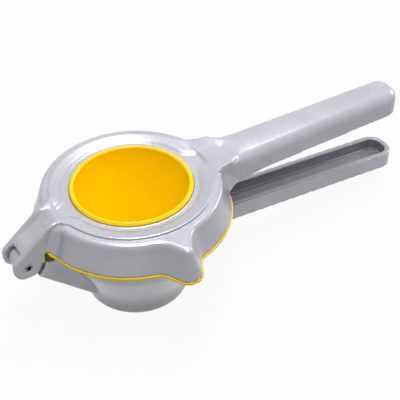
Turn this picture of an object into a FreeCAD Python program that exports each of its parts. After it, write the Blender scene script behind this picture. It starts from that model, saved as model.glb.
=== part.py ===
import FreeCAD, Part
import math
import os
import re
import PartDesign
import Sketcher
from FreeCAD import Vector

# A hinged lemon squeezer lies closed on the foot of its press cup. The origin is the centre of
# that foot on the table, +X runs along the grips, -Y points to the pouring beak, +Z is up.
# Millimetres and degrees.

doc = FreeCAD.newDocument("lemon_squeezer")

# Driving sizes: name, value, what it is.
driving = [
    # heights above the table
    ("ring_height", 61.0, "flat ring round the dish"),
    ("crest_rise", 1.1, "raised border of the ring above its floor"),
    ("plateau_drop", 1.6, "lower plateau below the ring"),
    ("skirt_depth", 13.7, "lower edge of the metal skirt below the ring"),
    ("rim_thickness", 1.5, "rim of the insert that shows below the skirt"),
    # press cup
    ("foot_radius", 25.0, "round foot of the cup"),
    ("foot_edge", 2.5, "rounded edge of the foot"),
    ("waist_radius", 25.9, "cup where its side starts to flare"),
    ("waist_height", 9.5, "height of the waist"),
    ("waist_blend", 26.0, "curve at the waist"),
    ("shoulder_radius", 36.2, "cup where the flare ends"),
    ("shoulder_height", 31.0, "height where the flare ends"),
    ("shoulder_blend", 14.0, "curve at the end of the flare"),
    ("mouth_radius", 36.6, "outside of the cup's mouth"),
    ("stop_gap", 0.1, "mouth of the closed cup below the insert that stops it"),
    ("cup_wall", 2.8, "wall of the cup"),
    ("cup_floor", 3.4, "floor of the cup"),
    ("cup_floor_radius", 20.0, "inside of the cup where its side would meet its floor"),
    ("cup_corner", 7.0, "rounded corner inside the cup"),
    # lower grip, an open channel
    ("grip_half_width", 9.0, "half width of the lower grip"),
    ("grip_reach", 154.5, "tip of the lower grip from the cup axis"),
    ("grip_start", 45.0, "where the heights of the lower grip are taken"),
    ("grip_top", 31.2, "top edge of the lower grip at its start"),
    ("grip_section", 8.9, "height of the channel section"),
    ("grip_fall", 4.5, "slope of the lower grip down to its tip"),
    ("grip_corner", 7.6, "rounded corners of the tip"),
    ("grip_wall", 2.8, "side walls of the channel"),
    ("grip_floor", 2.8, "floor of the channel"),
    ("channel_start", 39.5, "inner end of the channel"),
    # hinge
    ("pin_reach", 57.3, "hinge pin behind the cup axis"),
    ("pin_height", 42.0, "hinge pin above the table"),
    ("pin_radius", 2.0, "rolled spring pin"),
    ("pin_wall", 0.8, "sheet the pin is rolled from"),
    ("pin_slit", 0.8, "slit along the pin"),
    ("pin_inset", 0.4, "pin ends below the cheeks"),
    ("pin_play", 0.05, "running clearance of the pin in the knuckle"),
    ("knuckle_radius", 5.4, "round knuckle on the cup lever"),
    ("knuckle_width", 8.2, "width of the knuckle between the cheeks"),
    ("cheek_play", 0.3, "side clearance of the knuckle"),
    ("knuckle_play", 0.35, "clearance round the knuckle"),
    ("neck_width", 14.8, "width over both cheeks"),
    ("neck_slope", 38.7, "slope of the neck down to the hinge"),
    ("neck_offset", 7.5, "top of the neck from the pin, square to the slope"),
    ("neck_bend", 9.0, "bend at the top of the neck"),
    ("neck_start", 42.0, "inner end of the neck in the wall of the tray"),
    ("neck_face", 49.0, "front of the neck below the skirt"),
    ("neck_bottom", 41.8, "lower edge of the neck between skirt and cheeks"),
    ("cheek_back", 7.1, "back of the cheeks behind the pin"),
    ("cheek_below", 5.8, "lower edge of the cheeks below the pin"),
    ("cheek_front", 6.3, "front of the cheeks ahead of the pin"),
    ("cheek_round", 5.5, "rounded corners of the cheeks"),
    ("slot_end", 2.0, "end of the open slot behind the pin"),
    ("arm_gap", 0.7, "gap between the arm and the neck"),
    ("arm_slope", 44.0, "slope of the arm's lower edge"),
    ("arm_offset", 2.3, "arm's lower edge below the pin, square to the slope"),
    ("arm_end", 25.5, "inner end of the arm in the wall of the cup"),
    ("cheek_swing", 8.2, "round space that the cheeks turn in"),
    # tray
    ("rim_radius", 48.2, "outside of the skirt at its lower edge"),
    ("skirt_draft", 18.0, "slope of the skirt from upright"),
    ("plateau_edge", 2.2, "rounded edge of the plateau"),
    ("tray_wall", 2.3, "wall of the tray"),
    ("tray_ceiling", 57.2, "underside of the plateau"),
    ("ring_underside", 58.6, "underside of the ring"),
    ("ring_pocket_radius", 36.0, "thinner underside round the opening"),
    ("opening_radius", 29.2, "round opening in the tray"),
    ("crest_radius", 38.6, "outside of the raised border"),
    ("crest_inset", 0.9, "width of the crest itself"),
    ("crest_blend", 8.0, "concave corners of the border at the neck"),
    ("crest_grip_blend", 35.0, "concave corners of the border at the handle"),
    ("crest_grip_end", 66.0, "end of the border in the handle"),
    ("floor_radius", 31.9, "flat floor of the ring"),
    ("trough_half", 3.4, "half width of the trough at the neck and the handle"),
    ("trough_blend", 9.0, "concave corners of the ring's floor"),
    ("trough_grip_end", 50.0, "where the trough in the handle starts to run out"),
    ("trough_grip_fade", 64.0, "where the trough in the handle has run out"),
    ("trough_top_half", 6.1, "half width of the trough on the neck at its top"),
    ("trough_start", 41.3, "where the trough starts down the neck"),
    ("trough_slope", 33.5, "slope of the trough on the neck"),
    ("trough_length", 9.7, "straight part of the trough on the neck"),
    ("trough_fade", 4.5, "end of the trough where it comes up to the surface"),
    # pouring beak
    ("beak_reach", 57.6, "tip of the beak at the rim"),
    ("beak_round", 6.6, "rounded tip of the beak at the rim"),
    ("beak_angle", 34.0, "half angle of the beak at the rim"),
    ("beak_blend", 7.0, "concave foot of the beak at the rim"),
    # upper handle, hollow below
    ("handle_half_width", 11.0, "half width of the handle at its root"),
    ("handle_tip_half", 9.4, "half width of the handle at its tip"),
    ("handle_reach", 153.5, "tip of the handle from the cup axis"),
    ("handle_root", 62.0, "where the handle starts to taper"),
    ("handle_bottom", 49.0, "lower edge of the handle"),
    ("handle_rise_end", 70.0, "where its lower edge has risen from the skirt's"),
    ("handle_tip_round", 8.0, "rounded corners of the handle's tip"),
    ("root_start", 40.0, "inner end of the handle in the wall of the tray"),
    ("root_end", 61.0, "end of the blend between skirt and handle"),
    ("root_blend", 12.0, "concave corners between skirt and handle"),
    ("root_tuck", 0.05, "blend ends this far inside the handle's side"),
    ("handle_wall", 2.5, "side walls of the handle"),
    ("handle_skin", 2.8, "top skin of the handle"),
    ("handle_crown", 61.8, "top of the handle on its centre line"),
    ("crown_radius", 31.0, "curve of the handle's top across it"),
    ("crown_start", 50.0, "where the curved top begins"),
    ("crown_full", 68.0, "where the curved top is full"),
    ("handle_edge", 4.4, "rounded shoulders of the handle"),
    ("handle_hollow_start", 54.0, "inner end of the hollow below the handle"),
    # insert
    ("insert_play", 0.2, "clearance between insert and tray"),
    ("liner_wall", 1.6, "wall of the insert in the tray"),
    ("lip_reach", 0.3, "rim of the insert beyond the skirt"),
    ("dish_radius", 26.4, "inside of the dish at its lip"),
    ("dish_depth", 11.0, "depth of the dish below its lip"),
    ("bead_rise", 1.2, "lip of the dish above the ring"),
    ("bead_round", 1.1, "rounding of the lip"),
    ("dome_wall", 2.2, "wall of the pressing dome"),
    ("rib_count", 8, "pressing ribs on the dome"),
    ("rib_height", 1.3, "height of the ribs"),
    ("rib_angle", 6.0, "width of the ribs, round the axis"),
    ("rib_inner", 5.0, "inner end of the ribs"),
    ("rib_outer", 24.0, "outer end of the ribs"),
    # margins of cutting shapes
    ("overcut", 2.0, "cuts run this far past the metal"),
]

sheet = doc.addObject("Spreadsheet::Sheet", "sizes")
for row, (name, value, note) in enumerate(driving, start=1):
    sheet.set("A%d" % row, name)
    sheet.set("B%d" % row, str(value))
    sheet.set("C%d" % row, note)
    sheet.setAlias("B%d" % row, name)
doc.recompute()

names = {name for name, value, note in driving}


def bound(text):
    """Write a formula in the sheet's names as an expression on the sheet."""
    return re.sub(r"[a-z_]+", lambda word: "sizes." + word.group(0) if word.group(0) in names
                  else word.group(0), text)


def worth(text):
    """The value of such a formula."""
    return float(sheet.evalExpression(bound(text)))


def originPlane(body, role):
    return [item for item in body.Origin.OriginFeatures if item.Role == role][0]


def newSketch(body, name, role, offset="0"):
    """A sketch on one of the body's own planes, moved along the plane's normal."""
    sketch = body.newObject("Sketcher::SketchObject", name)
    sketch.AttachmentSupport = [(originPlane(body, role), "")]
    sketch.MapMode = "FlatFace"
    if offset != "0":
        sketch.setExpression("AttachmentOffset.Base.z", bound(offset))
    return sketch


def dimension(sketch, kind, text, *where):
    """A driving dimension whose value comes from the sheet."""
    number = sketch.addConstraint(Sketcher.Constraint(kind, *where, worth(text)))
    sketch.setExpression("Constraints[%d]" % number, bound(text))


def locate(sketch, geometry, end, across, up):
    """Pin a point to the origin by two dimensions."""
    for kind, text, axis in (("DistanceX", across, -2), ("DistanceY", up, -1)):
        if text == "0":
            sketch.addConstraint(Sketcher.Constraint("PointOnObject", geometry, end, axis))
        else:
            dimension(sketch, kind, text, -1, 1, geometry, end)


def polygon(body, name, role, corners, offset="0"):
    """A closed outline through corners given as formulas, with an optional corner radius."""
    sketch = newSketch(body, name, role, offset)
    points = [Vector(worth(corner[0]), worth(corner[1]), 0) for corner in corners]
    count = len(points)
    for index in range(count):
        sketch.addGeometry(Part.LineSegment(points[index], points[(index + 1) % count]), False)
    for index in range(count):
        sketch.addConstraint(Sketcher.Constraint("Coincident", index, 2, (index + 1) % count, 1))
    for index, corner in enumerate(corners):
        locate(sketch, index, 1, corner[0], corner[1])
    for index, corner in enumerate(corners):
        if len(corner) > 2:
            first = sketch.GeometryCount
            sketch.fillet(index, 1, worth(corner[2]), True, True)
            dimension(sketch, "Radius", corner[2], first)
    return sketch


def circle(body, name, role, across, up, radius, offset="0"):
    sketch = newSketch(body, name, role, offset)
    middle = Vector(worth(across), worth(up), 0)
    sketch.addGeometry(Part.Circle(middle, Vector(0, 0, 1), worth(radius)), False)
    locate(sketch, 0, 3, across, up)
    dimension(sketch, "Radius", radius, 0)
    return sketch


def arcFrom(middle, radius, start, end):
    """An arc from one point to another, the short way round its centre."""
    first = math.atan2(start.y - middle.y, start.x - middle.x)
    last = math.atan2(end.y - middle.y, end.x - middle.x)
    turn = (last - first + math.pi) % (2 * math.pi) - math.pi
    ring = Part.Circle(middle, Vector(0, 0, 1), radius)
    if turn > 0:
        return Part.ArcOfCircle(ring, first, first + turn), (1, 2)
    return Part.ArcOfCircle(ring, last, last - turn), (2, 1)


def chain(sketch, pieces):
    """Join lines and arcs end to end; every joint is tangent except where a piece says corner."""
    ends = []
    for piece in pieces:
        if piece[0] == "line":
            number = sketch.addGeometry(Part.LineSegment(piece[1], piece[2]), False)
            ends.append((number, 1, 2))
        else:
            shape, order = arcFrom(piece[1], piece[2], piece[3], piece[4])
            number = sketch.addGeometry(shape, False)
            ends.append((number, order[0], order[1]))
    return ends


def join(sketch, ends, corners=()):
    count = len(ends)
    for index in range(count):
        here, there = ends[index], ends[(index + 1) % count]
        kind = "Coincident" if index in corners else "Tangent"
        sketch.addConstraint(Sketcher.Constraint(kind, here[0], here[2], there[0], there[1]))


def mirrorAcross(point):
    return Vector(-point.x, point.y, 0)


def mirrorAlong(point):
    return Vector(point.x, -point.y, 0)


def bindMirrored(sketch, ends, numbers, text):
    for number in numbers:
        dimension(sketch, "Radius", text, ends[number][0])


def trayOutline(body, name, height, level, shift="0", nose="", root=False):
    """The round tray with its beak in plan, moved outwards by shift; level names its sizes.

    With root, the outline also runs into the handle on the +X side with concave corners.
    """
    reach, rim, tip, angle, blend = level
    radius = "%s + (%s)" % (rim, shift)
    foot = "%s - (%s)" % (blend, shift)
    nose = nose or "%s + (%s)" % (tip, shift)
    centre = "(%s - %s + (%s + (%s) - (%s)) / sin(%s * 1deg))" % (reach, tip, tip, shift, nose, angle)
    sketch = newSketch(body, name, "XY_Plane", height)
    r, t, f, c = worth(radius), worth(nose), worth(foot), worth(centre)
    lean = math.radians(worth(angle))
    side = Vector(math.cos(lean), -math.sin(lean), 0)
    along = Vector(math.sin(lean), math.cos(lean), 0)
    off = c * math.sin(lean) + t
    tipCentre = Vector(0, -c, 0)
    footCentre = side * (off + f) - along * math.sqrt((r + f) ** 2 - (off + f) ** 2)
    flank = (tipCentre + side * t, footCentre - side * f)
    onRim = footCentre * (r / (r + f))
    origin, top = Vector(0, 0, 0), Vector(0, r, 0)
    steps = [("arc", tipCentre, t, mirrorAcross(flank[0]), flank[0]), ("line",) + flank,
             ("arc", footCentre, f, flank[1], onRim)]
    if root:
        half, corner = "(handle_half_width - root_tuck)", "root_blend - (%s)" % shift
        h, g = worth(half), worth(corner)
        middle = Vector(math.sqrt((r + g) ** 2 - (h + g) ** 2), h + g, 0)
        leave = middle * (r / (r + g))
        bend, end = Vector(middle.x, h, 0), Vector(worth("root_end"), h, 0)
        steps += [("arc", origin, r, onRim, mirrorAlong(leave)),
                  ("arc", mirrorAlong(middle), g, mirrorAlong(leave), mirrorAlong(bend)),
                  ("line", mirrorAlong(bend), mirrorAlong(end)), ("line", mirrorAlong(end), end),
                  ("line", end, bend), ("arc", middle, g, bend, leave), ("arc", origin, r, leave, top)]
        corners = (5, 6, 9, 10)
    else:
        steps += [("arc", origin, r, onRim, Vector(r, 0, 0)), ("arc", origin, r, Vector(r, 0, 0), top)]
        corners = (3, 4, 5)
    steps += [("arc", origin, r, top, Vector(-r, 0, 0)),
              ("arc", origin, r, Vector(-r, 0, 0), mirrorAcross(onRim)),
              ("arc", mirrorAcross(footCentre), f, mirrorAcross(onRim), mirrorAcross(flank[1])),
              ("line", mirrorAcross(flank[1]), mirrorAcross(flank[0]))]
    ends = chain(sketch, steps)
    count = len(ends)
    join(sketch, ends, corners)
    rims = [3, count - 5, count - 4, count - 3]
    for number in rims:
        sketch.addConstraint(Sketcher.Constraint("Coincident", ends[number][0], 3, -1, 1))
    dimension(sketch, "Radius", radius, ends[3][0])
    if root:
        dimension(sketch, "Radius", radius, ends[9][0])
        bindMirrored(sketch, ends, (4, 8), corner)
        locate(sketch, ends[6][0], 1, "root_end", "-" + half)
        locate(sketch, ends[6][0], 2, "root_end", half)
        for number in (5, 7):
            sketch.addConstraint(Sketcher.Constraint("Horizontal", ends[number][0]))
    else:
        sketch.addConstraint(Sketcher.Constraint("PointOnObject", ends[3][0], ends[3][2], -1))
    sketch.addConstraint(Sketcher.Constraint("PointOnObject", ends[count - 4][0], ends[count - 4][1], -2))
    sketch.addConstraint(Sketcher.Constraint("PointOnObject", ends[count - 3][0], ends[count - 3][1], -1))
    sketch.addConstraint(Sketcher.Constraint("PointOnObject", ends[0][0], 3, -2))
    dimension(sketch, "DistanceY", "-" + centre, -1, 1, ends[0][0], 3)
    dimension(sketch, "Radius", nose, ends[0][0])
    bindMirrored(sketch, ends, (2, count - 2), foot)
    lineAngle(sketch, "90 - " + angle, ends[1][0])
    lineAngle(sketch, angle + " - 90", ends[count - 1][0])
    return sketch


def lineAngle(sketch, text, geometry):
    """The direction of a line from its start to its end, from the sketch's own X axis."""
    number = sketch.addConstraint(Sketcher.Constraint("Angle", geometry, math.radians(worth(text))))
    sketch.setExpression("Constraints[%d]" % number, "(" + bound(text) + ") * 1deg")


def ribbonOutline(body, name, height, radius, behind, ahead):
    """A round pad with a straight ribbon at each side and concave corners, in plan.

    behind and ahead each give the ribbon's end, its half width and the corners' radius.
    """
    sketch = newSketch(body, name, "XY_Plane", height)
    r = worth(radius)
    origin, top = Vector(0, 0, 0), Vector(0, r, 0)

    def corner(ribbon, sense):
        half, blend = worth(ribbon[1]), worth(ribbon[2])
        middle = Vector(sense * math.sqrt((r + blend) ** 2 - (half + blend) ** 2), half + blend, 0)
        return (middle, blend, Vector(sense * worth(ribbon[0]), half, 0), Vector(middle.x, half, 0),
                middle * (r / (r + blend)))

    m1, f1, end1, leave1, meet1 = corner(ahead, 1)
    m2, f2, end2, leave2, meet2 = corner(behind, -1)
    flip = mirrorAlong
    ends = chain(sketch, [
        ("line", end1, leave1), ("arc", m1, f1, leave1, meet1), ("arc", origin, r, meet1, top),
        ("arc", origin, r, top, meet2), ("arc", m2, f2, meet2, leave2), ("line", leave2, end2),
        ("line", end2, flip(end2)),
        ("line", flip(end2), flip(leave2)), ("arc", flip(m2), f2, flip(leave2), flip(meet2)),
        ("arc", origin, r, flip(meet2), flip(top)), ("arc", origin, r, flip(top), flip(meet1)),
        ("arc", flip(m1), f1, flip(meet1), flip(leave1)), ("line", flip(leave1), flip(end1)),
        ("line", flip(end1), end1),
    ])
    join(sketch, ends, corners=(2, 5, 6, 9, 12, 13))
    for number in (2, 3, 9, 10):
        sketch.addConstraint(Sketcher.Constraint("Coincident", ends[number][0], 3, -1, 1))
    bindMirrored(sketch, ends, (2, 9), radius)
    for number in (2, 9):
        sketch.addConstraint(Sketcher.Constraint("PointOnObject", ends[number][0], ends[number][2], -2))
    bindMirrored(sketch, ends, (1, 11), ahead[2])
    bindMirrored(sketch, ends, (4, 8), behind[2])
    for number, ribbon, sense in ((13, ahead, "("), (6, behind, "-(")):
        for place, up in ((1, "-(%s)"), (2, "%s")) if number == 13 else ((1, "%s"), (2, "-(%s)")):
            locate(sketch, ends[number][0], place, sense + ribbon[0] + ")", up % ribbon[1])
    for number in (0, 5, 7, 12):
        sketch.addConstraint(Sketcher.Constraint("Horizontal", ends[number][0]))
    return sketch


def archOutline(body, name, offset, half, height, radius, top):
    """A cutter across the handle: an arch of the given radius below, straight sides and a flat top."""
    sketch = newSketch(body, name, "YZ_Plane", offset)
    h, z, r, t = worth(half), worth(height), worth(radius), worth(top)
    middle = Vector(0, z - r, 0)
    drop = math.sqrt(r * r - h * h)
    left, right = Vector(-h, z - r + drop, 0), Vector(h, z - r + drop, 0)
    ends = chain(sketch, [("arc", middle, r, right, left), ("line", left, Vector(-h, t, 0)),
                          ("line", Vector(-h, t, 0), Vector(h, t, 0)), ("line", Vector(h, t, 0), right)])
    join(sketch, ends, corners=(0, 1, 2, 3))
    sketch.addConstraint(Sketcher.Constraint("PointOnObject", ends[0][0], 3, -2))
    dimension(sketch, "DistanceY", "%s - %s" % (height, radius), -1, 1, ends[0][0], 3)
    dimension(sketch, "Radius", radius, ends[0][0])
    locate(sketch, ends[2][0], 1, "-(%s)" % half, top)
    locate(sketch, ends[2][0], 2, half, top)
    for number in (1, 3):
        sketch.addConstraint(Sketcher.Constraint("Vertical", ends[number][0]))
    return sketch


def settle(body, feature):
    """Make a new feature the body's tip and stop if it failed."""
    body.Tip = feature
    doc.recompute()
    if "Invalid" in feature.State or "Error" in feature.State or not feature.Shape.isValid():
        raise RuntimeError(body.Label + ": " + feature.Label + " failed " + str(feature.State))
    return feature


def slab(body, kind, name, sketch, width=None, length=None, back=False, draft=None):
    """A pad or pocket: as wide as width about its sketch, or length to one side of it."""
    feature = body.newObject("PartDesign::" + kind, name)
    feature.Profile = sketch
    feature.setExpression("Length", bound(width or length))
    if width:
        feature.SideType = "Symmetric"
    if draft:
        feature.setExpression("TaperAngle", bound("-" + draft))
    feature.Reversed = back
    return settle(body, feature)


def turned(body, kind, name, sketch):
    """A revolution or groove about the cup's axis."""
    feature = body.newObject("PartDesign::" + kind, name)
    feature.Profile = sketch
    feature.ReferenceAxis = (sketch, ["V_Axis"])
    feature.Angle = 360
    return settle(body, feature)


def lofted(body, kind, name, sketches, ruled=True):
    feature = body.newObject("PartDesign::" + kind, name)
    feature.Profile = sketches[0]
    feature.Sections = sketches[1:]
    feature.Ruled = ruled
    return settle(body, feature)


def rounded(body, name, radius, chosen):
    """Round the edges of the body's tip that the test picks."""
    before = body.Tip
    edges = ["Edge%d" % (number + 1) for number, edge in enumerate(before.Shape.Edges) if chosen(edge)]
    feature = body.newObject("PartDesign::Fillet", name)
    feature.Base = (before, edges)
    feature.setExpression("Radius", bound(radius))
    return settle(body, feature)


def newBody(label):
    body = doc.addObject("PartDesign::Body", label)
    body.Label = label
    body.Placement = FreeCAD.Placement()
    return body


def near(value, text):
    return abs(value - worth(text)) < 0.02


mouth = "(tray_ceiling - insert_play - liner_wall - stop_gap)"
crest = "(ring_height + crest_rise)"
plateau = "(ring_height - plateau_drop)"
skirtBottom = "(ring_height - skirt_depth)"
rimBottom = "(ring_height - skirt_depth - rim_thickness)"
beak = ("beak_reach", "rim_radius", "beak_round", "beak_angle", "beak_blend")


# Cup lever: foot, press cup, sloping arm, knuckle and channel grip in one casting
def cupLever():
    body = newBody("cup_lever")
    outer = polygon(body, "cup_outside", "XZ_Plane", [
        ("0", "0"),
        ("foot_radius", "0", "foot_edge"),
        ("waist_radius", "waist_height", "waist_blend"),
        ("shoulder_radius", "shoulder_height", "shoulder_blend"),
        ("mouth_radius", mouth),
        ("0", mouth),
    ])
    turned(body, "Revolution", "cup", outer)
    armLow = "pin_height - (arm_offset + (pin_reach - %s) * sin(arm_slope * 1deg)) / cos(arm_slope * 1deg)"
    armTop = "(neck_bottom - arm_gap)"
    inner = "(pin_reach - cheek_swing - overcut)"
    arm = polygon(body, "arm_side", "XZ_Plane", [
        ("-pin_reach", armTop), ("-pin_reach", armLow % "pin_reach"),
        ("-arm_end", armLow % "arm_end"), ("-arm_end", armTop),
    ])
    slab(body, "Pad", "arm", arm, width="neck_width")
    swing = circle(body, "cheek_space", "XZ_Plane", "-pin_reach", "pin_height", "cheek_swing")
    slab(body, "Pocket", "cheek_clearance", swing, width="neck_width + overcut")
    tongue = polygon(body, "tongue_side", "XZ_Plane", [
        ("-pin_reach", armTop), ("-pin_reach", armLow % "pin_reach"),
        ("-" + inner, armLow % inner), ("-" + inner, armTop),
    ])
    slab(body, "Pad", "tongue", tongue, width="knuckle_width")
    knuckle = circle(body, "knuckle_side", "XZ_Plane", "-pin_reach", "pin_height", "knuckle_radius")
    slab(body, "Pad", "knuckle", knuckle, width="knuckle_width")
    bore = circle(body, "bore_side", "XZ_Plane", "-pin_reach", "pin_height", "pin_radius + pin_play")
    slab(body, "Pocket", "pin_bore", bore, width="neck_width")
    top = "grip_top - (%s - grip_start) * tan(grip_fall * 1deg)"
    grip = polygon(body, "grip_side", "XZ_Plane", [
        ("foot_radius", (top % "foot_radius") + " - grip_section"),
        ("grip_reach", (top % "grip_reach") + " - grip_section"),
        ("grip_reach", top % "grip_reach"),
        ("foot_radius", top % "foot_radius"),
    ])
    slab(body, "Pad", "grip", grip, width="grip_half_width * 2")
    rounded(body, "grip_tip", "grip_corner", lambda edge: near(edge.CenterOfMass.x, "grip_reach")
            and near(abs(edge.CenterOfMass.y), "grip_half_width"))
    channelEnd = "(grip_reach - grip_wall)"
    channel = polygon(body, "channel_side", "XZ_Plane", [
        ("channel_start", (top % "channel_start") + " - grip_section + grip_floor"),
        (channelEnd, (top % channelEnd) + " - grip_section + grip_floor"),
        (channelEnd, mouth), ("channel_start", mouth),
    ])
    slab(body, "Pocket", "channel", channel, width="(grip_half_width - grip_wall) * 2")
    rounded(body, "channel_corners", "grip_corner - grip_wall", lambda edge:
            near(edge.CenterOfMass.x, channelEnd)
            and near(abs(edge.CenterOfMass.y), "grip_half_width - grip_wall"))
    inside = polygon(body, "cup_inside", "XZ_Plane", [
        ("0", "cup_floor"),
        ("cup_floor_radius", "cup_floor", "cup_corner"),
        ("shoulder_radius - cup_wall", "shoulder_height", "shoulder_blend - cup_wall"),
        ("mouth_radius - cup_wall", mouth + " + overcut"),
        ("0", mouth + " + overcut"),
    ])
    turned(body, "Groove", "cup_hollow", inside)
    return body


# Tray lever: tray with ring opening and beak, neck with two cheeks, and the handle
def trayLever():
    body = newBody("tray_lever")
    low = trayOutline(body, "rim_plan", skirtBottom, beak, root=True)
    slab(body, "Pad", "tray", low, length="skirt_depth - plateau_drop", draft="skirt_draft")
    rounded(body, "plateau_round", "plateau_edge", lambda edge:
            near(edge.BoundBox.ZMin, plateau) and near(edge.BoundBox.ZMax, plateau)
            and not near(edge.BoundBox.XMin, "root_end"))

    # handle with its curved top, and its lower edge that rises from the skirt's
    plan = polygon(body, "handle_plan", "XY_Plane", [
        ("root_start", "-handle_half_width"), ("handle_root", "-handle_half_width"),
        ("handle_reach", "-handle_tip_half", "handle_tip_round"),
        ("handle_reach", "handle_tip_half", "handle_tip_round"),
        ("handle_root", "handle_half_width"), ("root_start", "handle_half_width"),
    ], skirtBottom)
    slab(body, "Pad", "handle", plan, length="crest_rise + skirt_depth")
    rise = polygon(body, "handle_rise", "XZ_Plane", [
        ("handle_hollow_start", skirtBottom), ("handle_rise_end", "handle_bottom"),
        ("handle_reach + overcut", "handle_bottom"), ("handle_reach + overcut", rimBottom),
        ("handle_hollow_start", rimBottom),
    ])
    slab(body, "Pocket", "handle_underside", rise, width="(handle_half_width + overcut) * 2")
    # raised border and the neck
    border = ribbonOutline(body, "border_plan", plateau + " - overcut / 2", "crest_radius",
                           ("neck_start", "neck_width / 2", "crest_blend"),
                           ("crest_grip_end", "handle_half_width - root_tuck * 2", "crest_grip_blend"))
    slab(body, "Pad", "border", border, length="crest_rise + plateau_drop + overcut / 2")
    beyond = "handle_half_width + overcut"
    arches = [
        archOutline(body, "crown_first", "crown_start", beyond, crest + " + overcut", "crown_radius * 2",
                    crest + " + overcut * 2"),
        archOutline(body, "crown_second", "crown_full", beyond, "handle_crown", "crown_radius",
                    crest + " + overcut * 2"),
        archOutline(body, "crown_third", "handle_reach + overcut", beyond, "handle_crown",
                    "crown_radius", crest + " + overcut * 2"),
    ]
    lofted(body, "SubtractiveLoft", "crown", arches)
    rounded(body, "handle_shoulders", "handle_edge", lambda edge:
            edge.CenterOfMass.x > worth("crown_full") and edge.CenterOfMass.z > worth("handle_bottom + handle_edge")
            and edge.Length > worth("handle_edge") and edge.BoundBox.ZLength < worth("crest_rise * 2")
            and (edge.BoundBox.XLength > worth("handle_tip_round / 2") or near(edge.CenterOfMass.x, "handle_reach")))
    # the top of the neck is a line at neck_offset from the pin, square to neck_slope
    slopeAt = ("(pin_height + neck_offset / cos(neck_slope * 1deg) - (%s - pin_reach) * tan(neck_slope * 1deg))")
    back = "(pin_reach + cheek_back)"
    front = "(pin_reach - cheek_front)"
    low = "(pin_height - cheek_below)"
    bendAt = "(pin_reach - (" + crest + " - pin_height - neck_offset / cos(neck_slope * 1deg)) / tan(neck_slope * 1deg))"
    neck = polygon(body, "neck_side", "XZ_Plane", [
        ("-neck_start", crest), ("-" + bendAt, crest, "neck_bend"),
        ("-" + back, slopeAt % back, "cheek_round"),
        ("-" + back, low, "cheek_round"), ("-" + front, low, "cheek_round"),
        ("-" + front, "neck_bottom"), ("-neck_face", "neck_bottom"), ("-neck_face", skirtBottom),
        ("-neck_start", skirtBottom),
    ])
    slab(body, "Pad", "neck", neck, width="neck_width")

    # hollow of the tray, thinner ring, opening, hollow of the handle
    inner = trayOutline(body, "moat_plan", skirtBottom, beak, shift="-tray_wall")
    slab(body, "Pocket", "moat", inner, length="tray_ceiling - " + skirtBottom, back=True, draft="skirt_draft")
    relief = circle(body, "relief_plan", "XY_Plane", "0", "0", "ring_pocket_radius", skirtBottom)
    slab(body, "Pocket", "relief", relief, length="ring_underside - " + skirtBottom, back=True)
    opening = circle(body, "opening_plan", "XY_Plane", "0", "0", "opening_radius", skirtBottom)
    slab(body, "Pocket", "opening", opening, length="skirt_depth + crest_rise + overcut", back=True)
    wallIn = "handle_half_width - handle_wall"
    tipIn = "handle_tip_half - handle_wall"
    hollow = polygon(body, "handle_hollow_plan", "XY_Plane", [
        ("handle_hollow_start", "-(%s)" % wallIn, "handle_wall"), ("handle_root", "-(%s)" % wallIn),
        ("handle_reach - handle_wall", "-(%s)" % tipIn, "handle_tip_round - handle_wall"),
        ("handle_reach - handle_wall", tipIn, "handle_tip_round - handle_wall"),
        ("handle_root", wallIn), ("handle_hollow_start", wallIn, "handle_wall"),
    ], rimBottom)
    slab(body, "Pocket", "handle_hollow", hollow,
         length="handle_crown - handle_skin - " + rimBottom, back=True)

    # ring's floor sunk between the borders, running out in the handle and down the neck
    floor = ribbonOutline(body, "floor_plan", "ring_height", "floor_radius",
                          ("neck_face", "trough_half", "trough_blend"),
                          ("trough_grip_end", "trough_half", "trough_blend"))
    brim = ribbonOutline(body, "brim_plan", crest, "crest_radius - crest_inset",
                         ("neck_face", "trough_top_half", "crest_blend + crest_inset"),
                         ("trough_grip_fade", "handle_half_width - crest_inset * 2",
                          "crest_grip_blend + crest_inset"))
    lofted(body, "SubtractiveLoft", "ring_floor", [floor, brim])

    # slot for the knuckle, open below and behind, and the hole for the pin
    swing = circle(body, "slot_round", "XZ_Plane", "-pin_reach", "pin_height",
                   "knuckle_radius + knuckle_play")
    slab(body, "Pocket", "knuckle_space", swing, width="knuckle_width + cheek_play * 2")
    beyond = "-(" + back + " + overcut)"
    slot = polygon(body, "slot_side", "XZ_Plane", [
        (beyond, low + " - overcut"), ("-neck_face", low + " - overcut"), ("-neck_face", "neck_bottom"),
        ("-(pin_reach + slot_end)", "neck_bottom"), ("-(pin_reach + slot_end)", crest), (beyond, crest),
    ])
    slab(body, "Pocket", "slot", slot, width="knuckle_width + cheek_play * 2")
    hole = circle(body, "hole_side", "XZ_Plane", "-pin_reach", "pin_height", "pin_radius")
    slab(body, "Pocket", "pin_hole", hole, width="neck_width + overcut")
    return body


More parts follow.
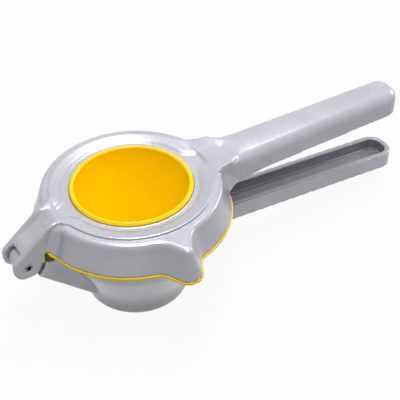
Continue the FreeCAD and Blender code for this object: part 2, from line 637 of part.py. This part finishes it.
# Insert: dish that presses the lemon, liner of the tray and its rim, one moulding
def pressInsert():
    body = newBody("press_insert")
    gap = "(tray_wall + insert_play)"
    lip = trayOutline(body, "lip_plan", rimBottom, beak, shift="lip_reach")
    slab(body, "Pad", "lip", lip, length="rim_thickness")
    outside = trayOutline(body, "liner_plan", skirtBottom, beak, shift="-" + gap)
    slab(body, "Pad", "liner", outside, length="tray_ceiling - insert_play - " + skirtBottom,
         draft="skirt_draft")
    inside = trayOutline(body, "liner_hollow_plan", rimBottom, beak,
                         shift="-(tray_wall + insert_play + liner_wall) + rim_thickness * tan(skirt_draft * 1deg)")
    slab(body, "Pocket", "liner_hollow", inside,
         length="tray_ceiling - insert_play - liner_wall - " + rimBottom, back=True, draft="skirt_draft")
    collar = polygon(body, "collar_section", "XZ_Plane", [
        ("0", "tray_ceiling - insert_play - liner_wall / 2"),
        ("ring_pocket_radius - insert_play", "tray_ceiling - insert_play - liner_wall / 2"),
        ("ring_pocket_radius - insert_play", "ring_underside"),
        ("opening_radius - insert_play", "ring_underside"),
        ("opening_radius - insert_play", "ring_height + bead_rise", "bead_round"),
        ("0", "ring_height + bead_rise"),
    ])
    turned(body, "Revolution", "collar", collar)
    sphere = "((dish_radius * dish_radius + dish_depth * dish_depth) / (2 * dish_depth))"
    centre = "(ring_height + bead_rise - dish_depth + %s)" % sphere
    dome = body.newObject("PartDesign::AdditiveSphere", "dome")
    dome.setExpression("Radius", bound(sphere + " + dome_wall"))
    dome.Angle1 = -90
    dome.setExpression("Angle2", bound("-asin((%s - (tray_ceiling - insert_play)) / (%s + dome_wall))"
                                       % (centre, sphere)))
    dome.setExpression("Placement.Base.z", bound(centre))
    settle(body, dome)
    dish = body.newObject("PartDesign::SubtractiveSphere", "dish")
    dish.setExpression("Radius", bound(sphere))
    dish.setExpression("Placement.Base.z", bound(centre))
    settle(body, dish)
    return body


# Rolled spring pin
def hingePin():
    body = newBody("hinge_pin")
    tube = newSketch(body, "pin_section", "XZ_Plane")
    for number, radius in enumerate(("pin_radius", "pin_radius - pin_wall")):
        middle = Vector(-worth("pin_reach"), worth("pin_height"), 0)
        tube.addGeometry(Part.Circle(middle, Vector(0, 0, 1), worth(radius)), False)
        locate(tube, number, 3, "-pin_reach", "pin_height")
        dimension(tube, "Radius", radius, number)
    slab(body, "Pad", "tube", tube, width="neck_width - pin_inset * 2")
    slit = polygon(body, "slit_section", "XZ_Plane", [
        ("-(pin_reach + pin_slit / 2)", "pin_height"),
        ("-(pin_reach - pin_slit / 2)", "pin_height"),
        ("-(pin_reach - pin_slit / 2)", "pin_height - pin_radius - 1"),
        ("-(pin_reach + pin_slit / 2)", "pin_height - pin_radius - 1"),
    ])
    slab(body, "Pocket", "slit", slit, width="neck_width")
    return body


pieces = [cupLever(), trayLever(), pressInsert(), hingePin()]
doc.recompute()

os.makedirs("parts", exist_ok=True)
for item in doc.Objects:
    if "Invalid" in item.State or "Error" in item.State:
        raise RuntimeError(item.Label + " did not compute")
for piece in pieces:
    if piece.Shape.isNull() or not piece.Shape.isValid():
        raise RuntimeError(piece.Label + " has no sound shape")
for piece in pieces:
    piece.Shape.exportStep("parts/" + piece.Label + ".step")
    box = piece.Shape.BoundBox
    print(piece.Label, len(piece.Shape.Solids), round(piece.Shape.Volume), [round(value, 1) for value in
          (box.XMin, box.XMax, box.YMin, box.YMax, box.ZMin, box.ZMax)])
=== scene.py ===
import bpy
import numpy as np
from mathutils import Matrix, Vector


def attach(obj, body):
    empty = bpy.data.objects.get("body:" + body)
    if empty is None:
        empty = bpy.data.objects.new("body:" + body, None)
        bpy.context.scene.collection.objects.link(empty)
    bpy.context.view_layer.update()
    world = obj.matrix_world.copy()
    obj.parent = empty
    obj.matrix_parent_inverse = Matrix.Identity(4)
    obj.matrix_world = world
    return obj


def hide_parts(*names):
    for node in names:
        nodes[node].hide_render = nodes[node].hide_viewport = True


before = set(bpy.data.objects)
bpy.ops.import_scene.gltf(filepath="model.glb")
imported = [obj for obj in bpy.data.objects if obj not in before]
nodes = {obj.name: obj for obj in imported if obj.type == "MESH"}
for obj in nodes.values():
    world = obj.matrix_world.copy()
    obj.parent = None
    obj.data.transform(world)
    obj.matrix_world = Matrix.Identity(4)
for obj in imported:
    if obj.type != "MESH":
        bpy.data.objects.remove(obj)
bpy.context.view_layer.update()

print("frame loaded:", ", ".join(sorted(nodes)))

scene = bpy.context.scene
scene.view_settings.view_transform = "Standard"


# shader maths on sockets
class Link:
    # one output socket of a node tree; operators add the nodes that work it out

    def __init__(self, tree, socket):
        self.tree = tree
        self.socket = socket

    def isNumber(self, value):
        if isinstance(value, Link):
            return value.socket.type == "VALUE"
        return isinstance(value, (int, float))

    def combine(self, other, operation, swapped=False):
        # Math on numbers, Vector Math where a colour or vector takes part
        left, right = (other, self) if swapped else (self, other)
        if self.isNumber(left) and self.isNumber(right):
            return self.tree.node("Math", {"operation": operation}, {0: left, 1: right})
        return self.tree.node("VectorMath", {"operation": operation},
                              {0: self.tree.asVector(left), 1: self.tree.asVector(right)})

    def __add__(self, other):
        return self.combine(other, "ADD")

    def __radd__(self, other):
        return self.combine(other, "ADD", True)

    def __sub__(self, other):
        return self.combine(other, "SUBTRACT")

    def __rsub__(self, other):
        return self.combine(other, "SUBTRACT", True)

    def __mul__(self, other):
        return self.combine(other, "MULTIPLY")

    def __rmul__(self, other):
        return self.combine(other, "MULTIPLY", True)

    def above(self, low, high):
        # 0 at low, 1 at high, smooth between
        return self.tree.node("MapRange", {"interpolation_type": "SMOOTHSTEP"},
                              {"Value": self, "From Min": low, "From Max": high})


class Tree:
    # the node tree of a material or the world

    def __init__(self, owner):
        owner.use_nodes = True
        self.nodes = owner.node_tree.nodes
        self.links = owner.node_tree.links
        self.nodes.clear()

    def asVector(self, value):
        return (value, value, value) if isinstance(value, (int, float)) else value

    def node(self, kind, settings=None, inputs=None, output=0):
        made = self.nodes.new("ShaderNode" + kind)
        for name, value in (settings or {}).items():
            setattr(made, name, value)
        for name, value in (inputs or {}).items():
            if isinstance(value, Link):
                self.links.new(value.socket, made.inputs[name])
            else:
                made.inputs[name].default_value = value
        return Link(self, made.outputs[output]) if made.outputs else None

    def mixColour(self, factor, first, second):
        return self.node("Mix", {"data_type": "RGBA"},
                         {"Factor": factor, 6: rgba(first), 7: rgba(second)}, output=2)

    def seen(self):
        # 1 for camera, glossy and transmission rays, outputs 0, 3 and 6 of Light Path
        rays = [self.node("LightPath", output=number) for number in (0, 3, 6)]
        either = self.node("Math", {"operation": "MAXIMUM"}, {0: rays[0], 1: rays[1]})
        return self.node("Math", {"operation": "MAXIMUM"}, {0: either, 1: rays[2]})


def rgba(value):
    return value if isinstance(value, Link) else tuple(value)[:3] + (1,)


def fromScreen(red, green, blue):
    # a colour as it reads on screen, 0 to 255, to the renderer's linear values
    def linear(value):
        value /= 255
        return value / 12.92 if value <= 0.04045 else ((value + 0.055) / 1.055) ** 2.4
    return (linear(red), linear(green), linear(blue))


def smoothRise(value, low, high):
    # 0 at low, 1 at high, smooth between, for numpy arrays
    share = np.clip((value - low) / (high - low), 0, 1)
    return share * share * (3 - 2 * share)


# shapes: each piece starts as a fine even mesh over its frame node, and is then carved in millimetres
# ledge outside the border and skirt of the tray: higher and narrower above, lower at the rim
skirtForm = {
    "start": (38.3, 38.8),
    "ledgeHeight": 59.4,
    "ledgeFrom": 55.0,
    "ledgeTop": 62.1,
    "ledgeRise": 1.6,
    "ledgeInset": 2.0,
    "rimInset": 1.2,
    "rimHeight": 47.3,
    "rimDrop": 1.1,
    "dropFrom": 57.0,
    "insetStart": (40.0, 43.0),
    "beakFade": (49.5, 56.0),
    "neckX": (-46, -38),
    "neckY": (8.2, 11.5),
    "handleX": (44, 51),
    "handleY": (12.0, 15.0),
}


def shapeSkirt(x, y, z, values):
    out = np.hypot(x, y)
    beside = smoothRise(out, *values["start"])
    neck = (1 - smoothRise(x, *values["neckX"])) * (1 - smoothRise(abs(y), *values["neckY"]))
    handle = smoothRise(x, *values["handleX"]) * (1 - smoothRise(abs(y), *values["handleY"]))
    beside = beside * (1 - neck) * (1 - handle)
    rising = smoothRise(z, values["ledgeFrom"], values["ledgeHeight"])
    falling = np.clip((values["ledgeTop"] - z) / (values["ledgeTop"] - values["ledgeHeight"]), 0, 1)
    lift = values["ledgeRise"] * np.where(z > values["ledgeHeight"], falling, rising)
    drop = values["rimDrop"] * (1 - smoothRise(z, values["rimHeight"], values["dropFrom"]))
    heights = [values["rimHeight"], values["ledgeHeight"]]
    inset = np.interp(z, heights, [values["rimInset"], values["ledgeInset"]])
    inset = inset * smoothRise(out, *values["insetStart"]) * (1 - smoothRise(out, *values["beakFade"]))
    share = 1 - inset * beside / np.maximum(out, 1)
    return x * share, y * share, z + (lift - drop) * beside


# the mesh of every casting and moulding
casting = {"weld": 0.00002, "smoothing": 0.5, "leastBlend": 0.02, "perMetre": 1000}


def settle(piece):
    # modifiers become the mesh
    graph = bpy.context.evaluated_depsgraph_get()
    made = bpy.data.meshes.new_from_object(piece.evaluated_get(graph))
    piece.modifiers.clear()
    piece.data = made


def carved(mesh, values, carve):
    # moves the points of the mesh, and returns them in millimetres
    count = len(mesh.vertices)
    points = np.empty(count * 3, dtype=np.float32)
    normals = np.empty(count * 3, dtype=np.float32)
    mesh.vertices.foreach_get("co", points)
    mesh.vertex_normals.foreach_get("vector", normals)
    points = points.reshape(-1, 3).astype(float) * casting["perMetre"]
    points = carve(points, normals.reshape(-1, 3), values)
    mesh.vertices.foreach_set("co", (points / casting["perMetre"]).astype(np.float32).ravel())
    mesh.update()
    return points


def blendRoot(piece, points, values):
    # the handle grows out of the tray in one smooth form
    x, z = points[:, 0], points[:, 2]
    near = smoothRise(x, *values["blendX"][:2]) * (1 - smoothRise(x, *values["blendX"][2:]))
    group = piece.vertex_groups.new(name="root")
    for number in np.nonzero((near > casting["leastBlend"]) & (z > values["blendZ"]))[0]:
        group.add([int(number)], float(near[number]), "REPLACE")
    blended = piece.modifiers.new("blended", "SMOOTH")
    blended.factor = casting["smoothing"]
    blended.iterations = values["blending"]
    blended.vertex_group = group.name


def formed(node, name, body, values, carve=None):
    piece = bpy.data.objects.new(name, nodes[node].data.copy())
    scene.collection.objects.link(piece)
    piece.data.materials.clear()
    weld = piece.modifiers.new("weld", "WELD")
    weld.merge_threshold = casting["weld"]
    even = piece.modifiers.new("even", "REMESH")
    even.mode = "VOXEL"
    even.voxel_size = values["grain"]
    settle(piece)
    if carve:
        points = carved(piece.data, values, carve)
        if "blendX" in values:
            blendRoot(piece, points, values)
    soft = piece.modifiers.new("soft", "SMOOTH")
    soft.factor = casting["smoothing"]
    soft.iterations = values["softness"]
    thin = piece.modifiers.new("thin", "DECIMATE")
    thin.ratio = values["kept"]
    settle(piece)
    piece.data.name = name
    for face in piece.data.polygons:
        face.use_smooth = True
    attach(piece, body)
    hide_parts(node)
    print(name, "formed,", len(piece.data.polygons), "faces")
    return piece


# tray and upper handle: stepped ring, trough on the neck, round handle shoulders
trayForm = {
    "grain": 0.0005,
    "softness": 8,
    "kept": 0.6,
    "facingUp": 0.3,
    "ringFrom": 60.8,
    "ringRadius": 38.2,
    "ringEndX": 40,
    "borderHeight": 62.1,
    "floorDrop": 0.7,
    "stepTop": 61.05,
    "stepStart": 61.03,
    "stepEnd": 61.17,
    "stepFade": (50, 62),
    "troughX": (-57.5, -56, -54, -52, -50, -46, -44, -42, -41),
    "troughDepth": (0, 0.25, 1.2, 1.9, 2.2, 2.7, 1.8, 0.45, 0),
    "troughHalf": (4.3, 5.1),
    "handleX": (44, 48, 54, 62, 153.5),
    "handleHalf": (18, 12.6, 11.05, 11.0, 9.4),
    "shoulder": 6.2,
    "shoulderX": (46, 60),
    "leastShoulder": 0.05,
    "crown": 61.8,
    "crownRadius": 31.0,
    "blendX": (47, 54, 60, 68),
    "blendZ": 52.0,
    "blending": 14,
    "ridgeX": (47, 61),
}


def carveTray(points, normals, values):
    x, y, z = points.T.copy()
    upward = normals[:, 2] > values["facingUp"]
    x, y, z = shapeSkirt(x, y, z, skirtForm)
    # step up from the ring's floor to its sloping border
    onRing = (np.hypot(x, y) < values["ringRadius"]) | (x > values["ringEndX"])
    ring = upward & (z > values["ringFrom"]) & onRing
    onStep = smoothRise(z, values["stepStart"], values["stepEnd"])
    slope = (values["borderHeight"] - values["stepTop"]) / (values["borderHeight"] - values["stepEnd"])
    border = values["stepTop"] + np.maximum(z - values["stepEnd"], 0) * slope
    stepped = (z - values["floorDrop"]) * (1 - onStep) + border * onStep
    fade = 1 - smoothRise(x, *values["stepFade"])
    z = np.where(ring, z + (stepped - z) * fade, z)
    # the border dies out in the handle's crown
    crown = values["crown"] - y ** 2 / (2 * values["crownRadius"])
    dying = smoothRise(x, *values["ridgeX"])
    cap = values["borderHeight"] * (1 - dying) + crown * dying
    z = np.where(upward & (x > values["ridgeX"][0]), np.minimum(z, cap), z)
    # trough down the neck
    depth = np.interp(x, values["troughX"], values["troughDepth"], left=0, right=0)
    inside = 1 - smoothRise(abs(y), *values["troughHalf"])
    z = np.where(upward, z - depth * inside, z)
    # round shoulders: what stands outside a circle along each edge comes in to it
    radius = values["shoulder"] * smoothRise(x, *values["shoulderX"])
    half = np.interp(x, values["handleX"], values["handleHalf"])
    centreY = half - radius
    centreZ = values["crown"] - centreY ** 2 / (2 * values["crownRadius"]) - radius
    outY, outZ = abs(y) - centreY, z - centreZ
    reach = np.hypot(outY, outZ)
    corner = (outY > 0) & (outZ > 0) & (reach > radius) & (radius > values["leastShoulder"])
    share = np.where(corner, radius / np.where(corner, reach, 1), 1)
    y = np.where(corner, np.sign(y) * (centreY + outY * share), y)
    z = np.where(corner, centreZ + outZ * share, z)
    return np.stack([x, y, z], axis=1)


# yellow moulding: dish up to a round bead
insertForm = {
    "grain": 0.0005,
    "softness": 2,
    "kept": 0.5,
    "facingUp": 0.2,
    "dishLow": 51.2,
    "dishRadius": 41.2,
    "beadX": 27.7,
    "beadZ": 61.25,
    "beadRound": 0.9,
    "beadOutside": 1.5,
}


def carveInsert(points, normals, values):
    x, y, z = points.T.copy()
    out = np.hypot(x, y)
    dish = values["dishLow"] + values["dishRadius"] - np.sqrt(
        np.maximum(values["dishRadius"] ** 2 - out ** 2, 1))
    off = np.clip(out - values["beadX"], -values["beadRound"], values["beadRound"])
    bead = values["beadZ"] + np.sqrt(np.maximum(values["beadRound"] ** 2 - off ** 2, 0))
    surface = np.where(out > values["beadX"] - values["beadRound"], bead, dish)
    upward = (normals[:, 2] > values["facingUp"]) & (out < values["beadX"] + values["beadOutside"])
    z = np.where(upward, np.minimum(z, surface), z)
    x, y, z = shapeSkirt(x, y, z, skirtForm)
    return np.stack([x, y, z], axis=1)


# cup and lower handle: cast edges only
cupForm = {"grain": 0.0005, "softness": 4, "kept": 0.4}


trayCasting = formed("tray_lever", "trayCasting", "tray", trayForm, carveTray)
insertMoulding = formed("press_insert", "insertMoulding", "tray", insertForm, carveInsert)
cupCasting = formed("cup_lever", "cupCasting", "cup", cupForm)


def dress(piece, material):
    piece.data.materials.clear()
    piece.data.materials.append(material)


# silver lacquer on the two castings
castSilver = {
    "colour": fromScreen(184, 184, 192),
    "shade": fromScreen(176, 176, 184),
    "metallic": 0.3,
    "roughness": 0.3,
    "flakeSize": 0.0004,
    "flakeDepth": 0.07,
    "flakeInBump": 0.25,
    "peelSize": 0.0022,
    "peelDepth": 0.00003,
    "peelStrength": 0.5,
    "cloudScale": 45.0,
    "cloudRange": (0.35, 0.65),
    "roughnessSpread": 0.1,
    "coat": 0.3,
    "coatRoughness": 0.12,
}


def makeCastSilver(values):
    material = bpy.data.materials.new("castSilver")
    tree = Tree(material)
    place = tree.node("TexCoord", output=3)
    flakes = tree.node("TexVoronoi", inputs={"Vector": place, "Scale": 1 / values["flakeSize"]}, output=1)
    flake = tree.node("SeparateColor", inputs={"Color": flakes})
    clouds = tree.node("TexNoise", inputs={"Vector": place, "Scale": values["cloudScale"], "Detail": 3.0})
    grain = tree.node("TexNoise", inputs={"Vector": place, "Scale": 1 / values["peelSize"], "Detail": 2.0})
    body = tree.mixColour(clouds.above(*values["cloudRange"]), values["shade"], values["colour"])
    colour = body * (1 - values["flakeDepth"] + flake * (2 * values["flakeDepth"]))
    bump = tree.node("Bump", None, {
        "Strength": values["peelStrength"],
        "Distance": values["peelDepth"],
        "Height": grain + flake * values["flakeInBump"],
    })
    spread = values["roughnessSpread"]
    shader = tree.node("BsdfPrincipled", None, {
        "Base Color": colour,
        "Metallic": values["metallic"],
        "Roughness": values["roughness"] - spread / 2 + grain * spread,
        "Coat Weight": values["coat"],
        "Coat Roughness": values["coatRoughness"],
        "Normal": bump,
    })
    tree.node("OutputMaterial", None, {"Surface": shader})
    return material


silver = makeCastSilver(castSilver)
dress(trayCasting, silver)
dress(cupCasting, silver)

# yellow moulding: matt dish, glossy bead and rim, with a paler yellow on the bead and rim as a painted
# highlight
yellowPlastic = {
    "colour": fromScreen(230, 174, 0),
    "deep": fromScreen(226, 169, 0),
    # paler yellow of the bead and rim: a painted highlight, since the moulding itself is one yellow
    "bead": fromScreen(255, 214, 30),
    "dishRoughness": 0.55,
    "beadRoughness": 0.28,
    "beadStart": (0.0266, 0.0269),
    "grainSize": 0.0016,
    "grainDepth": 0.00002,
    "grainStrength": 0.4,
    "cloudScale": 60.0,
    "cloudRange": (0.3, 0.7),
    "roughnessSpread": 0.08,
    "beadCoat": 0.4,
    "coatRoughness": 0.1,
}


def makeYellowPlastic(values):
    material = bpy.data.materials.new("yellowPlastic")
    tree = Tree(material)
    place = tree.node("TexCoord", output=3)
    clouds = tree.node("TexNoise", inputs={"Vector": place, "Scale": values["cloudScale"], "Detail": 2.0})
    grain = tree.node("TexNoise", inputs={"Vector": place, "Scale": 1 / values["grainSize"], "Detail": 3.0})
    flat = tree.node("VectorMath", {"operation": "LENGTH"}, {0: place * (1.0, 1.0, 0.0)}, output=1)
    # radius mask for the bead and rim: it sets their gloss and also their painted highlight colour
    glossAndPaintedHighlight = flat.above(*values["beadStart"])
    bump = tree.node("Bump", None, {
        "Strength": values["grainStrength"],
        "Distance": values["grainDepth"],
        "Height": grain,
    })
    body = tree.mixColour(clouds.above(*values["cloudRange"]), values["deep"], values["colour"])
    roughness = values["dishRoughness"] + glossAndPaintedHighlight * (values["beadRoughness"] - values["dishRoughness"])
    spread = values["roughnessSpread"]
    shader = tree.node("BsdfPrincipled", None, {
        # beyond the bead's radius the colour turns to the paler yellow, a painted highlight on the bead and
        # rim
        "Base Color": tree.mixColour(glossAndPaintedHighlight, body, values["bead"]),
        "Roughness": roughness - spread / 2 + grain * spread,
        "Specular IOR Level": 0.0,
        "Coat Weight": glossAndPaintedHighlight * values["beadCoat"],
        "Coat Roughness": values["coatRoughness"],
        "Normal": bump,
    })
    tree.node("OutputMaterial", None, {"Surface": shader})
    return material


dress(insertMoulding, makeYellowPlastic(yellowPlastic))

# rolled steel pin
pinSteel = {
    "colour": fromScreen(120, 120, 124),
    "bright": fromScreen(150, 150, 152),
    "grainScale": 700.0,
    "grainAlong": (1.0, 9.0, 1.0),
    "roughness": 0.35,
    "roughnessSpread": 0.16,
}


def makePinSteel(values):
    material = bpy.data.materials.new("pinSteel")
    tree = Tree(material)
    place = tree.node("TexCoord", output=3)
    rings = tree.node("TexNoise", inputs={
        "Vector": place * values["grainAlong"],
        "Scale": values["grainScale"],
    })
    spread = values["roughnessSpread"]
    shader = tree.node("BsdfPrincipled", None, {
        "Base Color": tree.mixColour(rings, values["colour"], values["bright"]),
        "Metallic": 1.0,
        "Roughness": values["roughness"] - spread / 2 + rings * spread,
    })
    tree.node("OutputMaterial", None, {"Surface": shader})
    return material


dress(nodes["hinge_pin"], makePinSteel(pinSteel))
print("materials made")

# floor
floorPlane = {"halfSize": 1.5, "whiteness": 0.94, "colour": (0.65, 0.65, 0.65), "drop": 0.0002}


def makeFloor(values):
    size = values["halfSize"]
    mesh = bpy.data.meshes.new("floorPlane")
    mesh.from_pydata([(-size, -size, 0), (size, -size, 0), (size, size, 0), (-size, size, 0)],
                     [], [(0, 1, 2, 3)])
    floor = bpy.data.objects.new("floorPlane", mesh)
    scene.collection.objects.link(floor)
    floor.location.z = -values["drop"]
    material = bpy.data.materials.new("floorWhite")
    tree = Tree(material)
    plain = tree.node("BsdfDiffuse", None, {"Color": values["colour"] + (1,)})
    white = tree.node("Emission", None, {"Color": (1, 1, 1, 1), "Strength": 1.0})
    mixed = tree.node("MixShader", None, {0: tree.seen() * values["whiteness"], 1: plain, 2: white})
    tree.node("OutputMaterial", None, {"Surface": mixed})
    mesh.materials.append(material)


makeFloor(floorPlane)

# light
studio = {
    "world": 0.08,
    "lamps": [
        # name, place, side, watts
        ("topLamp", (-0.02, -0.12, 0.78), 0.22, 3.6),
        ("backLamp", (0.22, 0.2, 0.85), 0.35, 3.6),
        ("rightLamp", (0.7, 0.0, 0.35), 0.3, 1.2),
    ],
    "target": (0.02, 0.0, 0.05),
}


def makeWorld(strength):
    world = bpy.data.worlds.new("studioWorld")
    scene.world = world
    tree = Tree(world)
    dim = tree.node("Background", None, {"Color": (1, 1, 1, 1), "Strength": strength})
    full = tree.node("Background", None, {"Color": (1, 1, 1, 1), "Strength": 1.0})
    mixed = tree.node("MixShader", None, {0: tree.seen(), 1: dim, 2: full})
    tree.node("OutputWorld", None, {"Surface": mixed})


def makeLamp(name, place, side, watts, target):
    data = bpy.data.lights.new(name, "AREA")
    data.shape = "RECTANGLE"
    data.size, data.size_y, data.energy = side, side, watts
    lamp = bpy.data.objects.new(name, data)
    scene.collection.objects.link(lamp)
    lamp.location = place
    lamp.rotation_euler = (Vector(target) - Vector(place)).to_track_quat("-Z", "Y").to_euler()


makeWorld(studio["world"])
for lampValues in studio["lamps"]:
    makeLamp(*lampValues, studio["target"])
print("floor and light made")

# camera, as in the photograph
viewpoint = {
    "place": (-0.16715, -0.3412, 0.37515),
    "forward": (0.3898, 0.6517, -0.65065),
    "up": (0.34592, 0.55118, 0.7593),
    "lens": 95.566,
    "sensor": 36.0,
    "nearest": 0.01,
    "furthest": 20.0,
}


def makeCamera(values):
    forward = Vector(values["forward"]).normalized()
    across = forward.cross(Vector(values["up"])).normalized()
    upward = across.cross(forward)
    data = bpy.data.cameras.new("photoCamera")
    data.lens, data.sensor_width, data.sensor_fit = values["lens"], values["sensor"], "HORIZONTAL"
    data.clip_start, data.clip_end = values["nearest"], values["furthest"]
    camera = bpy.data.objects.new("photoCamera", data)
    scene.collection.objects.link(camera)
    turn = Matrix((across, upward, -forward)).transposed().to_4x4()
    camera.matrix_world = Matrix.Translation(values["place"]) @ turn
    scene.camera = camera


makeCamera(viewpoint)
